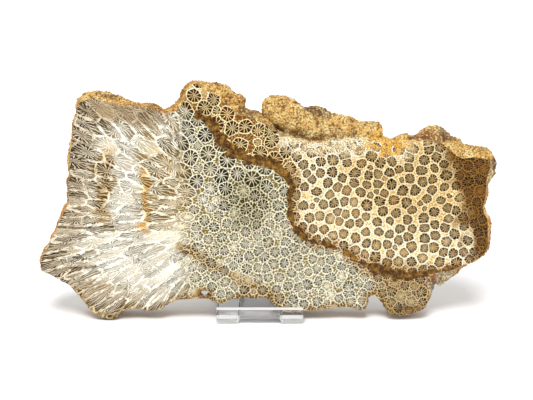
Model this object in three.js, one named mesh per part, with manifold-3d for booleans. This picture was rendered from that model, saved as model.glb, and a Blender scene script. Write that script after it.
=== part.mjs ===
// A polished slice of fossil coral, standing in a small clear acrylic stand.
// Millimetres, +Z up. The polished face looks along -Y and leans back from the viewer.
// The slice is drawn lying in its own frame first: across = X, depth = Y, up the face = Z.
import * as THREE from "three";
import { mergeVertices } from "three/addons/utils/BufferGeometryUtils.js";
import Module from "manifold-3d";

const wasm = await Module();
wasm.setup();

// The slice
const SLICE_THICKNESS = 13;
const LEAN = THREE.MathUtils.degToRad(10);
const RING_STEP = 2.2; // spacing of the points round the edge
const RIND_BUMP = 0.9; // how far lumps in the rind stand out or sink in
const RIND_BUMP_SIZE = 5;
const LEAST_ROUGHNESS = 0.35; // share of the bumps where the rind doesn't stand out
const ROUGH_STAND_OUT = 4; // rind that stands out this much more has all of them
const SMOOTH_SHARE = 1 / 6; // of the thickness, over which the bumps set in

// The edge of the polished face, clockwise from the top left corner as the face is seen:
// [across, up, how far the rind behind the edge stands out].
const TOP_LEFT_EDGE = [
  [-82, 93.5, 1.5], [-81, 95.5, 2], [-75.5, 97, 3], [-68, 95.5, 3.2], [-63.5, 94, 3], [-58, 94, 1.2],
  [-53.5, 93.5, 1], [-49, 92.5, 1.5], [-46.5, 91, 1], [-44.5, 91, 0.6], [-40.5, 91.5, 2.5],
];
const YELLOW_LOBE = [
  [-38, 93.5, 3], [-36.5, 95.5, 2.5], [-35.5, 100, 1.5], [-34, 102, 1], [-33, 103.5, 0.6], [-30, 103, 1],
  [-27.5, 101, 2.5], [-24.5, 99.5, 4], [-21.5, 98.5, 5], [-20, 97.5, 5.5], [-19, 95, 6.5], [-16.5, 94, 7],
  [-14.5, 91.5, 7], [-12.5, 90, 5],
];
const SADDLE = [[-9.5, 89.5, 2], [-5.5, 88.5, 2.5], [-2.5, 86.5, 2.5]];
const UNDER_THE_LUMP = [
  [1, 84.5, 1.5], [4.5, 82.5, 1], [9.5, 80.5, 0.8], [13.5, 79.5, 0.8], [16.5, 78.5, 0.8], [21, 78, 1],
  [25, 78.5, 1.2], [29.5, 79, 2], [38, 79, 3], [46.5, 78.5, 3], [53.5, 77.5, 1.5],
];
const ROUGH_CORNER = [
  [57.5, 77, 4], [62, 78.5, 2], [65.5, 79, 2.5], [68.5, 79.5, 4.5], [72, 79.5, 5.2], [74, 78.5, 5.5],
  [76.5, 76.5, 5.5], [78.5, 75, 5.5], [82, 72, 5.5], [84.5, 71.2, 5], [88, 71.8, 4.8], [92, 71.5, 4],
  [94.5, 71, 3.5],
];
const RIGHT_EDGE = [
  [96, 69, 3.2], [95, 64.5, 4.5], [94.5, 60, 1.5], [94, 53.5, 1.6], [93, 50.5, 1], [93.5, 47.5, 1],
  [95, 45, 1.6], [95.5, 38, 2], [95.5, 32.5, 1.6], [93.5, 29, 1.5], [90, 26.5, 1.2], [84.5, 24.5, 2],
];
const CHIPPED_CORNER = [[80.5, 22.5, 4], [75, 21.5, 7.5], [69, 19.5, 8], [69.5, 15.5, 4.5], [70.5, 11, 1.2]];
const RIGHT_FOOT = [
  [69.5, 7.5, 0.8], [68.5, 5.5, 0.7], [66, 4, 0.7], [60.5, 2.5, 0.7], [57.5, 2, 0.7], [54.5, 2.5, 0.7],
  [52, 4, 0.7], [52, 5.5, 0.6], [51.5, 7, 0.6], [49.5, 9, 0.6],
];
const NOTCH = [[46.5, 11.5, 0.6], [45, 11, 0.6], [43, 9.5, 0.6], [43.5, 7.5, 0.6], [43, 5.5, 0.6]];
const BOTTOM_EDGE = [
  [41.5, 4.5, 0.6], [36, 5.5, 0.6], [31.5, 6, 0.6], [26, 5, 0.6], [21, 4.5, 0.6], [12, 4, 0.6], [7.5, 4, 0.6],
  [4.5, 5.5, 0.7], [1, 8.5, 0.7], [-1, 10, 0.7], [-4.5, 10, 0.6], [-6.5, 9.5, 0.6], [-9.5, 10.5, 0.6],
  [-13.5, 9.5, 0.6], [-17.5, 9, 0.6], [-20, 7.5, 0.6], [-24.5, 8.5, 0.6], [-25.5, 9.5, 0.6], [-34, 9.5, 0.6],
  [-40, 9, 0.6], [-42.5, 8, 0.6], [-45.5, 6.5, 0.6], [-46.5, 5, 0.6], [-52, 4.5, 0.6], [-57.5, 5.5, 0.6],
  [-62.5, 4.5, 0.6],
];
const LEFT_FOOT = [
  [-65, 4, 0.6], [-65.5, 2, 0.6], [-67, 1, 0.8], [-69, 0.6, 0.8], [-73.5, 1.5, 0.7], [-76, 3, 0.7],
  [-78, 5.5, 0.8], [-79.5, 7.5, 0.8],
];
const LEFT_TIP = [
  [-83, 11.5, 0.7], [-86.5, 15.5, 0.7], [-92, 18.5, 0.7], [-95, 20.5, 0.7], [-98.5, 21.5, 0.7],
  [-99.5, 22.5, 0.6], [-98.5, 23.5, 0.6], [-99, 25, 0.9],
];
const LEFT_EDGE = [
  [-97.5, 30, 1], [-95, 33.5, 1], [-94, 37, 1], [-92.5, 38.5, 1], [-91, 43, 1], [-88.5, 48, 1],
  [-86.5, 52, 1], [-86.5, 61, 1], [-85.5, 63.5, 1], [-86, 69, 1.1], [-85, 76.5, 1.1], [-84, 81.5, 1.1],
  [-84, 84, 1], [-83.5, 87, 1.1], [-82, 90, 1.2],
];
const FACE_EDGE = [
  TOP_LEFT_EDGE, YELLOW_LOBE, SADDLE, UNDER_THE_LUMP, ROUGH_CORNER, RIGHT_EDGE, CHIPPED_CORNER,
  RIGHT_FOOT, NOTCH, BOTTOM_EDGE, LEFT_FOOT, LEFT_TIP, LEFT_EDGE,
].flat();

// How the rind runs from the polished face to the back: [share of the thickness, share of the stand-out].
const RIND_PROFILE = [
  [0, 0], [0.07, 0.35], [0.17, 0.66], [0.3, 0.9], [0.46, 1], [0.63, 0.94], [0.8, 0.76], [0.93, 0.5],
  [1, 0.25],
];

// The granular lump that stands on the top edge: its sections from left to right,
// [across, lowest, highest, half its depth].
const LUMP_DEPTH = 6.4; // of its middle, behind the polished face
const LUMP_SECTIONS = [
  [-2.6, 90.5, 94.5, 1.5], [-1.3, 88, 97, 3.6], [1.7, 85.5, 98.3, 4.6], [5.5, 82, 98.2, 5.2],
  [8.7, 80, 97.2, 5.5], [11.8, 79, 95.8, 5.5], [14.4, 78.3, 94.4, 5.4], [16.6, 77.8, 93.4, 5.3],
  [22.3, 77, 93.1, 5.3],
  [25.3, 77.3, 91.6, 5.3], [27.7, 77.5, 90, 5.2], [31.5, 77.5, 89.2, 5.2], [35.8, 77.5, 89, 5],
  [38.4, 77.5, 87.4, 4.8], [40.8, 77.5, 87, 4.7], [43.7, 77.5, 86.6, 4.6], [47.6, 78, 86, 4.2],
  [49.4, 79.5, 84, 2.6],
];
const LUMP_SETBACK = 0.4; // at least this far behind the polished face
const LUMP_SIDES = 20;
const LUMP_BUMP = 0.8;
const LUMP_BUMP_SIZE = 3.2;

// The hole that goes right through near the bottom edge
const HOLE = { across: -27.7, up: 11.8, halfWidth: 2.2, halfHeight: 1.5, steps: 10 };

// The stand: an L-shaped base with a lip in front, and two upright legs behind the slice
const STAND_CENTRE = -3.6; // across
const BASE_WIDTH = 37.9;
const BASE_DEPTH = 42;
const LIP_HEIGHT = 6.4;
const LIP_THICKNESS = 3.1;
const SHELF_THICKNESS = 3;
const BASE_CORNER = 1.4;
const TUNNEL = { top: 17.6, bottom: 19.4, height: 1.9 }; // the recess under the base
const LEG_THICKNESS = 2.2;
const LEG_SPACING = 16.6;
const LEG_HEIGHT = 46;
const LEG_TOP_DEPTH = 6;
const LEG_TOP_ROUND = { down: 1.5, back: 1, flat: 3 }; // the leg's top: its rounded corner and its flat
const ROUND_STEPS = 4; // straight pieces in each rounded corner
const LEG_FOOT_INSET = 2; // from the back of the base
const GAP = 0.3; // between pieces that rest on each other
const FACE_FOOT = 3.6; // of the polished face's lowest line, behind the front of the lip

// A bump carries smaller ones, this much lower and this many times finer.
const SMALL_BUMP_HEIGHT = 0.5;
const SMALL_BUMP_FINENESS = 2.3;

// Repeatable noise: a hash of whole-number points, blended between them, from -1 to 1.
function hash(i, j, k) {
  let h = Math.imul(i, 374761393) ^ Math.imul(j, 668265263) ^ Math.imul(k, 2147483647);
  h = Math.imul(h ^ (h >>> 13), 1274126177);
  return ((h ^ (h >>> 16)) >>> 0) / 2147483648 - 1;
}

function noise(x, y, z) {
  const cell = [x, y, z].map(Math.floor);
  const ease = [x, y, z].map((c, axis) => THREE.MathUtils.smoothstep(c - cell[axis], 0, 1));
  let total = 0;
  for (let corner = 0; corner < 8; corner++) {
    const step = [corner & 1, (corner >> 1) & 1, corner >> 2];
    const weight = step.reduce((w, s, axis) => w * (s ? ease[axis] : 1 - ease[axis]), 1);
    total += weight * hash(...cell.map((c, axis) => c + step[axis]));
  }
  return total;
}

// A lumpy surface: large bumps with smaller ones on them.
function bumps(point, size) {
  const at = (scale) => noise(point.x / scale, point.y / scale, point.z / scale);
  return at(size) + SMALL_BUMP_HEIGHT * at(size / SMALL_BUMP_FINENESS);
}

// A closed geometry through rings of points, with both ends filled in. seenFrom gives a point's place
// on the first ring as it looks from outside that end, [right, up].
function loft(rings, seenFrom) {
  const around = rings[0].length;
  const flat = (ring) => ring.map((p) => new THREE.Vector2(...seenFrom(p)));
  const fill = (ring) => THREE.ShapeUtils.triangulateShape(flat(ring), []);
  const last = (rings.length - 1) * around;
  const triangles = fill(rings[0]).flat();
  fill(rings.at(-1)).forEach(([a, b, c]) => triangles.push(last + a, last + c, last + b));
  for (let ring = 0; ring < last; ring += around)
    for (let i = 0; i < around; i++) {
      const [a, b] = [ring + i, ring + ((i + 1) % around)];
      triangles.push(a, b, a + around, b, b + around, a + around);
    }
  return new THREE.BufferGeometry().setFromPoints(rings.flat()).setIndex(triangles);
}

function solidOf(geometry) {
  const bare = geometry.clone();
  bare.deleteAttribute("normal");
  bare.deleteAttribute("uv");
  const merged = mergeVertices(bare, 1e-4);
  return new wasm.Manifold(
    new wasm.Mesh({
      numProp: 3,
      vertProperties: merged.attributes.position.array,
      triVerts: new Uint32Array(merged.index.array),
    }),
  );
}

function geometryOf(solid) {
  const mesh = solid.getMesh();
  return new THREE.BufferGeometry()
    .setAttribute("position", new THREE.BufferAttribute(mesh.vertProperties, 3))
    .setIndex(new THREE.BufferAttribute(mesh.triVerts, 1));
}

// The plate of the slice: the polished face, the rough rind round it and the flat sawn back.
function plate() {
  const edge = new THREE.CatmullRomCurve3(
    FACE_EDGE.map((p) => new THREE.Vector3(...p)), true, "centripetal");
  const count = Math.round(edge.getLength() / RING_STEP);
  const points = edge.getSpacedPoints(count).slice(0, count);
  const near = (i) => points[(i + count) % count];
  const outward = points.map((_, i) => {
    const along = near(i + 2).clone().sub(near(i - 2));
    return new THREE.Vector2(-along.y, along.x).normalize();
  });
  const rings = RIND_PROFILE.map(([through, share]) =>
    points.map((p, i) => {
      const roughness = Math.min(1, LEAST_ROUGHNESS + p.z / ROUGH_STAND_OUT)
        * Math.min(1, through / SMOOTH_SHARE);
      const place = new THREE.Vector3(p.x, through * SLICE_THICKNESS, p.y);
      const out = share * p.z + RIND_BUMP * roughness * bumps(place, RIND_BUMP_SIZE);
      const level = Math.tan(LEAN) * place.y; // keeps the underside level once the slice leans
      place.x += outward[i].x * out;
      place.z += outward[i].y * out + Math.max(0, -outward[i].y) * level;
      place.z = Math.max(place.z, level); // and off the table
      return place;
    }),
  );
  return loft(rings, (p) => [p.x, p.z]);
}

// The granular lump on the top edge, rounder at its ends, lumpy all over.
function lump() {
  const rings = LUMP_SECTIONS.map(([across, lowest, highest, halfDepth]) => {
    const middle = new THREE.Vector3(across, LUMP_DEPTH, (lowest + highest) / 2);
    return Array.from({ length: LUMP_SIDES }, (_, i) => {
      const turn = (2 * Math.PI * i) / LUMP_SIDES;
      const halfHeight = (highest - lowest) / 2;
      const spoke = new THREE.Vector3(0, Math.cos(turn) * halfDepth, Math.sin(turn) * halfHeight);
      const place = middle.clone().add(spoke);
      place.addScaledVector(spoke.normalize(), LUMP_BUMP * bumps(place, LUMP_BUMP_SIZE));
      place.y = Math.max(place.y, LUMP_SETBACK);
      return place;
    });
  });
  return loft(rings, (p) => [-p.y, p.z]);
}

// The hole, as a short oval rod to cut away.
function hole() {
  const oval = new THREE.Shape().absellipse(0, 0, HOLE.halfWidth, HOLE.halfHeight, 0, 2 * Math.PI);
  const depth = 2 * SLICE_THICKNESS;
  const rod = new THREE.ExtrudeGeometry(oval, { depth, bevelEnabled: false, curveSegments: HOLE.steps });
  return rod.rotateX(Math.PI / 2).translate(HOLE.across, (depth + SLICE_THICKNESS) / 2, HOLE.up);
}

function named(name, geometry, material) {
  const mesh = new THREE.Mesh(geometry, material);
  mesh.name = name;
  return mesh;
}

function coralSlice() {
  const stone = solidOf(plate()).add(solidOf(lump())).subtract(solidOf(hole()));
  const material = new THREE.MeshStandardMaterial({ color: 0xc9b08a, roughness: 0.35, metalness: 0 });
  const slice = new THREE.Group();
  slice.add(named("coral_slice", geometryOf(stone), material));
  slice.rotation.x = -LEAN;
  slice.position.y = FACE_FOOT;
  return slice;
}

// The base seen from the front, this high: rounded lower corners, and the recess between its two feet.
function baseOutline(height) {
  const half = BASE_WIDTH / 2;
  const outline = new THREE.Shape();
  outline.moveTo(-half + BASE_CORNER, 0);
  outline.lineTo(-TUNNEL.bottom / 2, 0).lineTo(-TUNNEL.top / 2, TUNNEL.height);
  outline.lineTo(TUNNEL.top / 2, TUNNEL.height).lineTo(TUNNEL.bottom / 2, 0);
  outline.lineTo(half - BASE_CORNER, 0);
  outline.quadraticCurveTo(half, 0, half, BASE_CORNER).lineTo(half, height).lineTo(-half, height);
  outline.lineTo(-half, BASE_CORNER).quadraticCurveTo(-half, 0, -half + BASE_CORNER, 0);
  return outline;
}

// A front outline made this deep, going back from Y = 0.
function pushedBack(outline, depth) {
  const options = { depth, bevelEnabled: false, curveSegments: ROUND_STEPS };
  const block = new THREE.ExtrudeGeometry(outline, options);
  return block.rotateX(Math.PI / 2).translate(0, depth, 0);
}

function standBase(acrylic) {
  const lip = solidOf(pushedBack(baseOutline(LIP_HEIGHT), LIP_THICKNESS));
  const shelf = solidOf(pushedBack(baseOutline(SHELF_THICKNESS), BASE_DEPTH));
  return named("stand_base", geometryOf(lip.add(shelf)), acrylic);
}

// An upright leg: its front edge leans with the back of the slice, and it narrows towards the top.
function standLeg(name, across, acrylic) {
  const backOfSlice = (z) => FACE_FOOT + (z + SLICE_THICKNESS * Math.sin(LEAN)) * Math.tan(LEAN)
    + SLICE_THICKNESS * Math.cos(LEAN);
  const front = (z) => backOfSlice(z) + GAP;
  const side = new THREE.Shape();
  const top = front(LEG_HEIGHT);
  const { down, back, flat } = LEG_TOP_ROUND;
  side.moveTo(front(SHELF_THICKNESS), SHELF_THICKNESS);
  side.lineTo(BASE_DEPTH - LEG_FOOT_INSET, SHELF_THICKNESS);
  side.lineTo(top + LEG_TOP_DEPTH, LEG_HEIGHT - down);
  side.quadraticCurveTo(top + LEG_TOP_DEPTH - back, LEG_HEIGHT, top + flat, LEG_HEIGHT);
  side.lineTo(top, LEG_HEIGHT);
  const options = { depth: LEG_THICKNESS, bevelEnabled: false, curveSegments: ROUND_STEPS };
  const leg = new THREE.ExtrudeGeometry(side, options);
  leg.rotateX(Math.PI / 2).rotateZ(Math.PI / 2).translate(across - LEG_THICKNESS / 2, 0, 0);
  return named(name, leg, acrylic);
}

function stand() {
  const acrylic = () => new THREE.MeshStandardMaterial({
    color: 0xf2f5f5, roughness: 0.08, metalness: 0, transparent: true, opacity: 0.35 });
  const pieces = new THREE.Group();
  pieces.add(standBase(acrylic()));
  pieces.add(standLeg("stand_leg_left", -LEG_SPACING / 2, acrylic()));
  pieces.add(standLeg("stand_leg_right", LEG_SPACING / 2, acrylic()));
  pieces.position.x = STAND_CENTRE;
  return pieces;
}

// The origin is under the middle of the object's box.
const object = new THREE.Group();
object.add(coralSlice(), stand());
const middle = new THREE.Box3().setFromObject(object, true).getCenter(new THREE.Vector3());
object.position.set(-middle.x, -middle.y, 0);

export default object;
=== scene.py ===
"""A polished slice of fossil coral in a small clear acrylic stand, dressed over its CAD frame.

The slice's own measures are in millimetres on its polished face: across to the right, up the face, and
depth into the stone. Everything that reaches Blender is in metres.
"""

import math
from functools import partial, reduce

import bmesh
import bpy
import numpy as np
from bpy.props import FloatProperty, FloatVectorProperty, IntProperty, PointerProperty
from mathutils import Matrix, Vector, geometry, noise


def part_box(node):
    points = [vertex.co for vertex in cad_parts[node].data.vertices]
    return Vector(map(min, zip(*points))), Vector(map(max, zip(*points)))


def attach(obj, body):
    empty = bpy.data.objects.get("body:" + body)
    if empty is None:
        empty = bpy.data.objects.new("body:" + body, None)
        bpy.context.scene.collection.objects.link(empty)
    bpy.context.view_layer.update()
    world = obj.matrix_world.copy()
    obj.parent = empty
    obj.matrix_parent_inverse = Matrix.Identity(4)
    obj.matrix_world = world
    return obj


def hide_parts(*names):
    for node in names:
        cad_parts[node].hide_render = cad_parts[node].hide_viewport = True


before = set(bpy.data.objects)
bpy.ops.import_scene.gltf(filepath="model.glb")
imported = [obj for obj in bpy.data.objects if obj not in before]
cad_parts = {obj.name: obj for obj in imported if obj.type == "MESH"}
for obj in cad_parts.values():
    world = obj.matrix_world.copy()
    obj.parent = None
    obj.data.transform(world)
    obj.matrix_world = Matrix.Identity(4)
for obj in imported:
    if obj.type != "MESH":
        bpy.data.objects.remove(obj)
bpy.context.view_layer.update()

bl_info = {
    "name": "Fossil coral slice",
    "version": (1, 0, 0),
    "blender": (4, 5, 0),
    "location": "View3D > Sidebar > Coral",
    "description": "Builds a polished slice of fossil coral in its clear stand",
    "category": "Object",
}

MM = 0.001
BODY = "root"
SLICE = "coral_slice"
DRESSED = "coral_slice_polished"
RIND = "Golden rind"
STAND_NODES = ("stand_base", "stand_leg_left", "stand_leg_right")

# Where the polished face lies, in mm: its foot line behind the front of the stand's lip, its zero to the
# right of the stand's middle, and its lean.
FACE_FOOT = 3.6
FACE_ZERO = 3.6
LEAN = math.radians(10)
THICKNESS = 13.0
STAND_LOW, STAND_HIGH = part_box("stand_base")
FACE_ORIGIN = Vector(((STAND_LOW.x + STAND_HIGH.x) / 2 + FACE_ZERO * MM, STAND_LOW.y + FACE_FOOT * MM, 0))
FACE_UP = Vector((0, math.sin(LEAN), math.cos(LEAN)))
FACE_IN = Vector((0, math.cos(LEAN), -math.sin(LEAN)))

# The material slots of the slice's mesh.
POLISHED_SLOT, RIND_SLOT, SAWN_SLOT = 0, 1, 2

# Small holes in the polished face: across, up and radius in mm. Then their shape, as shares of the radius,
# how much lower than wide they are, and the room round them.
PITS = [(76.4, 44.1, 0.75), (76, 42.1, 0.5), (80.5, 47.6, 0.5), (70.5, 48.7, 0.5), (75.8, 54.2, 0.5)]
PIT_SHAPE = ((1, 0), (0.8, 0.7), (0.4, 1.2))
PIT_SIDES = 10
PIT_HEIGHT, PIT_ROOM = 0.85, 1.35

# The grid that fills a cut face: how far its points stray and stay off the rim, as shares of its step, how
# much coarser the back's is, and the seed of its disorder.
STRAY, RIM_ROOM, BACK_STEP, GRID_SEED = 0.16, 0.55, 1.3, 5

# In mm: how near to a cut face a point is on it, how near the rind's points may come to it, over what depth
# the rind's knobs fade towards it, over what depth its crumbs do, and how far the points that place the
# corallites stay off the rim.
ON_CUT, OFF_CUT, KNOB_FADE, CRUMB_FADE, OFF_RIM = 0.02, 0.03, 1.6, 2.5, 0.5

# Below this height the rind is smoother, with its knobs and grains at this share of their height.
SMOOTHER_BELOW, SMOOTHER = 40, 0.6

# How often the rind's long edges are halved, how often and how much its surface is eased, and how often
# slivers are looked for at the rims.
REFINE_ROUNDS, EASE_ROUNDS, EASE, SLIVER_ROUNDS = 4, 2, 0.4, 4

# How much deeper the polish makes the face's colours, and how much deeper the rind's are.
FACE_DEPTH, RIND_DEPTH = 1.6, 1.35

# The stand's edges: flatter ones are dissolved, and sharper ones get a bevel.
FLAT_EDGE, SHARP_EDGE = math.radians(1), math.radians(25)

# The heights of the stand's frosted level faces in mm: the recess's ceiling, and all from the lip's top on.
RECESS_CEILING = (1, 2.5)
LIP_TOP = 5

# A hair of air under the stand, in mm, so that its clear underside isn't in the floor.
FLOOR_GAP = 0.2

# Where the even light changes, as the height and depth of its direction.
SKY_ABOVE, GLOW_FROM, GLOW_TO = 0.6, -0.2, 0.5

# What the middle of the view looks at, in mm: across from the CAD's middle, back and up.
VIEW_CENTRE = (-0.45, -10, 53)

# ---------------------------------------------------------------- the coral's own lines, in mm

# Where the corallites of the left colony grow out from. They spread a little on their way to the back, so
# this share of a place there leads to their place on the face.
GROWTH_CENTRE = (-12, 47)
BACK_SPREAD = 0.93

# The brown seam between the two colonies, with half its width at each point.
SEAM = [
    (-30, 90, 1.8), (-24.5, 87, 2.2), (-22, 81, 2.6), (-18, 77, 2.8), (-14.5, 73.5, 2.8), (-9.5, 71.5, 2.8),
    (0, 69, 2.8), (5, 66.5, 2.5), (8.5, 63.5, 2.0), (10.3, 59, 1.6), (9.2, 54, 1.3), (10.5, 50.5, 1.2),
    (9.6, 45.5, 1.1), (10.5, 42.5, 1.2), (14, 39, 1.4), (17.5, 35.5, 1.3), (21, 34, 1), (26, 33.5, 0.9),
    (30, 32, 1), (34, 30, 1), (38, 26.5, 1.3), (42, 25, 1.7), (46, 23, 2.2), (50, 21.5, 2.6),
    (55.5, 20.3, 2.8), (60.5, 19.5, 2.6), (64.5, 20.2, 2), (68, 21, 1.4), (82, 23, 1),
]

# One corallite in eight is a young one, this much smaller than its neighbours. The others' sizes vary a
# little, and so do all their rings.
YOUNG_SHARE, YOUNG_SIZE = 0.13, 0.62
SIZE_RANGE, RING_RANGE = (0.93, 1.07), (0.9, 1.06)

# How the corallites are spread: places tried, the least distance in pitches, points that even them out, how
# often, and how many of those a corallite needs to move.
TRIES, CLOSEST = 24000, 0.8
SAMPLES, EVENING_ROUNDS, FEWEST = 14000, 5, 8

# A corallite that the cut stretches by less counts as round, and is at most this much longer than wide.
ROUND_BELOW, MOST_OVAL = 1.4, 1.14

# A brown band low in the left colony, with half its width.
LOW_STAIN = [(-38, 33, 1.6), (-31, 29, 2.4), (-23, 24, 2.6), (-15, 19.5, 2.4), (-8, 15, 3), (0, 12, 3),
             (7, 7.5, 2.4)]

# The left border of the dark stain along the right edge.
RIGHT_STAIN = [(68, 84), (74, 75.5), (78, 68), (83, 60), (82.5, 53.5), (83.5, 47), (85, 42.5), (89, 34),
               (91, 24)]

# Long thin dark cracks at the left, and half their width.
CRACKS = ([(-93, 41.4, 0.25), (-81, 41.0, 0.3), (-67, 41.4, 0.2)], [(-85, 27.7, 0.22), (-76.5, 27.4, 0.2)],
          [(-86, 23.4, 0.22), (-75, 23.8, 0.22)], [(-94, 29.6, 0.2), (-88, 30.6, 0.2)])

# The middle of the hole through the slice.
HOLE_AT = (-27.7, 11.7)


def smooth(low, high, value):
    """0 below low, 1 above high and smooth between them."""
    share = np.clip((value - low) / (high - low), 0, 1)
    return share * share * (3 - 2 * share)


def wobble(across, up, size, seed):
    """Smooth repeatable noise from -1 to 1 over the face, in patches about size mm wide."""
    period = 64
    table = np.random.default_rng(seed).uniform(-1, 1, (period, period))
    x, y = across / size + 8 * period, up / size + 8 * period
    i, j = np.floor(x).astype(int), np.floor(y).astype(int)
    fx, fy = smooth(0, 1, x - i), smooth(0, 1, y - j)

    def corner(a, b):
        return table[(i + a) % period, (j + b) % period]

    low = corner(0, 0) * (1 - fx) + corner(1, 0) * fx
    high = corner(0, 1) * (1 - fx) + corner(1, 1) * fx
    return low * (1 - fy) + high * fy


def patch(across, up, centre, radii, turn=0, soft=0.35, rough=2.0, seed=1):
    """1 inside an uneven oval and 0 outside it, with a soft border."""
    du = across + rough * wobble(across, up, 4.5, seed) - centre[0]
    dv = up + rough * wobble(across, up, 4.5, seed + 50) - centre[1]
    c, s = math.cos(math.radians(turn)), math.sin(math.radians(turn))
    reach = np.hypot((du * c + dv * s) / radii[0], (dv * c - du * s) / radii[1])
    return 1 - smooth(1 - soft, 1 + soft, reach)


def from_line(across, up, line):
    """For points of the face: distance to a line, on which side (+1 is left of its course), and the
    line's third value at the nearest point, where it has one."""
    best = np.full(across.shape, np.inf)
    side = np.zeros(across.shape)
    third = np.zeros(across.shape)
    for a, b in zip(line, line[1:]):
        dx, dy = b[0] - a[0], b[1] - a[1]
        t = np.clip(((across - a[0]) * dx + (up - a[1]) * dy) / (dx * dx + dy * dy), 0, 1)
        away = np.hypot(across - a[0] - t * dx, up - a[1] - t * dy)
        nearer = away < best
        best = np.where(nearer, away, best)
        side = np.where(nearer, np.sign(dx * (up - a[1]) - dy * (across - a[0])), side)
        if len(a) > 2:
            third = np.where(nearer, a[2] + t * (b[2] - a[2]), third)
    return best, side, third


def colour(code):
    """A hex colour code as linear red, green and blue."""
    parts = [int(code[i:i + 2], 16) / 255 for i in (0, 2, 4)]
    return np.array([c / 12.92 if c <= 0.04045 else ((c + 0.055) / 1.055) ** 2.4 for c in parts])


def blend(base, tint, share):
    """Each point's colour in base moved towards one tint by its share."""
    return base + (colour(tint) - base) * share[:, None]


# ---------------------------------------------------------------- where the corallites stand


def growth(across, up):
    """How a corallite lies at each point: its direction, how stretched it looks and its pitch in mm."""
    away_x, away_y = across - GROWTH_CENTRE[0], up - GROWTH_CENTRE[1]
    reach = np.hypot(away_x, away_y) + 1e-6
    right = from_line(across, up, SEAM)[1] > 0
    left = np.where(right, 0, smooth(-28, -48, across))
    stretch = np.where(right, 1.05, 1.12) + left * (1.1 + 1.8 * smooth(54, 32, up))
    pitch = np.where(right, 4.95 + 1.7 * smooth(12, 3, across), 5.0 + 2.2 * smooth(48, 66, up))
    pitch = pitch + left * (0.8 + 2.0 * smooth(54, 36, up))
    return np.stack([away_x / reach, away_y / reach, stretch, pitch])


def reach_from(points, centre):
    """Each point's place in its corallite, along and over its length in pitches, its distance there, and how
    that distance grows per mm. The points and the columns of centre go in pairs."""
    x, y, dx, dy, stretch, pitch = centre
    off_x, off_y = points[:, 0] - x, points[:, 1] - y
    root = np.sqrt(stretch)
    along = (off_x * dx + off_y * dy) / root / pitch
    over = (off_y * dx - off_x * dy) * root / pitch
    reach = np.hypot(along, over) + 1e-6
    slope_along, slope_over = along / root / pitch / reach, over * root / pitch / reach
    slope = np.stack([slope_along * dx - slope_over * dy, slope_along * dy + slope_over * dx])
    return along, over, reach, slope


def all_reaches(points, centres):
    """Distance in pitches of every point, in rows, from every centre, in columns."""
    x, y, dx, dy, stretch, pitch = centres
    off_x, off_y = points[:, :1] - x, points[:, 1:] - y
    root = np.sqrt(stretch)
    return np.hypot((off_x * dx + off_y * dy) / root, (off_y * dx - off_x * dy) * root) / pitch


def two_nearest(points, centres):
    """The numbers of the nearest centre and the next one for each point."""
    near = np.empty((len(points), 2), int)
    for start in range(0, len(points), 4000):
        reach = all_reaches(points[start:start + 4000], centres)
        two = np.argpartition(reach, 1, axis=1)[:, :2]
        rows = np.arange(len(two))[:, None]
        near[start:start + 4000] = two[rows, np.argsort(reach[rows, two], axis=1)]
    return near


def corallite_centres(inside, seed):
    """Corallites spread over the face about a pitch apart, with small young ones among them, in columns of
    across, up, direction, stretch and pitch."""
    rng = np.random.default_rng(seed)
    low, high = inside.min(0) - 3, inside.max(0) + 3
    tries = rng.uniform(low, high, (TRIES, 2))
    young = rng.uniform(size=len(tries)) < YOUNG_SHARE
    size = np.where(young, YOUNG_SIZE, rng.uniform(*SIZE_RANGE, len(tries)))
    field = np.vstack([tries.T, growth(tries[:, 0], tries[:, 1])])
    field[5] *= size
    kept = []
    for i in range(field.shape[1]):
        if not kept or all_reaches(field[:2, i][None], field[:, kept]).min() > CLOSEST:
            kept.append(i)
    centres, size = field[:, kept], size[kept]
    sample = inside[rng.permutation(len(inside))[:SAMPLES]]
    for _ in range(EVENING_ROUNDS):
        owner = two_nearest(sample, centres)[:, 0]
        count = np.bincount(owner, minlength=len(size))
        for row in (0, 1):
            total = np.bincount(owner, sample[:, row], len(size))
            centres[row] = np.where(count > FEWEST, total / np.maximum(count, 1), centres[row])
        centres[2:] = growth(centres[0], centres[1])
        centres[5] *= size

    # The round ones are a little oval, each its own way
    turn = rng.uniform(0, math.pi, len(size))
    oval = centres[4] < ROUND_BELOW
    centres[2:4] = np.where(oval, (np.cos(turn), np.sin(turn)), centres[2:4])
    centres[4] = np.where(oval, rng.uniform(1, MOST_OVAL, len(size)), centres[4])
    return centres

# ---------------------------------------------------------------- the colours of the polished face


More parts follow.
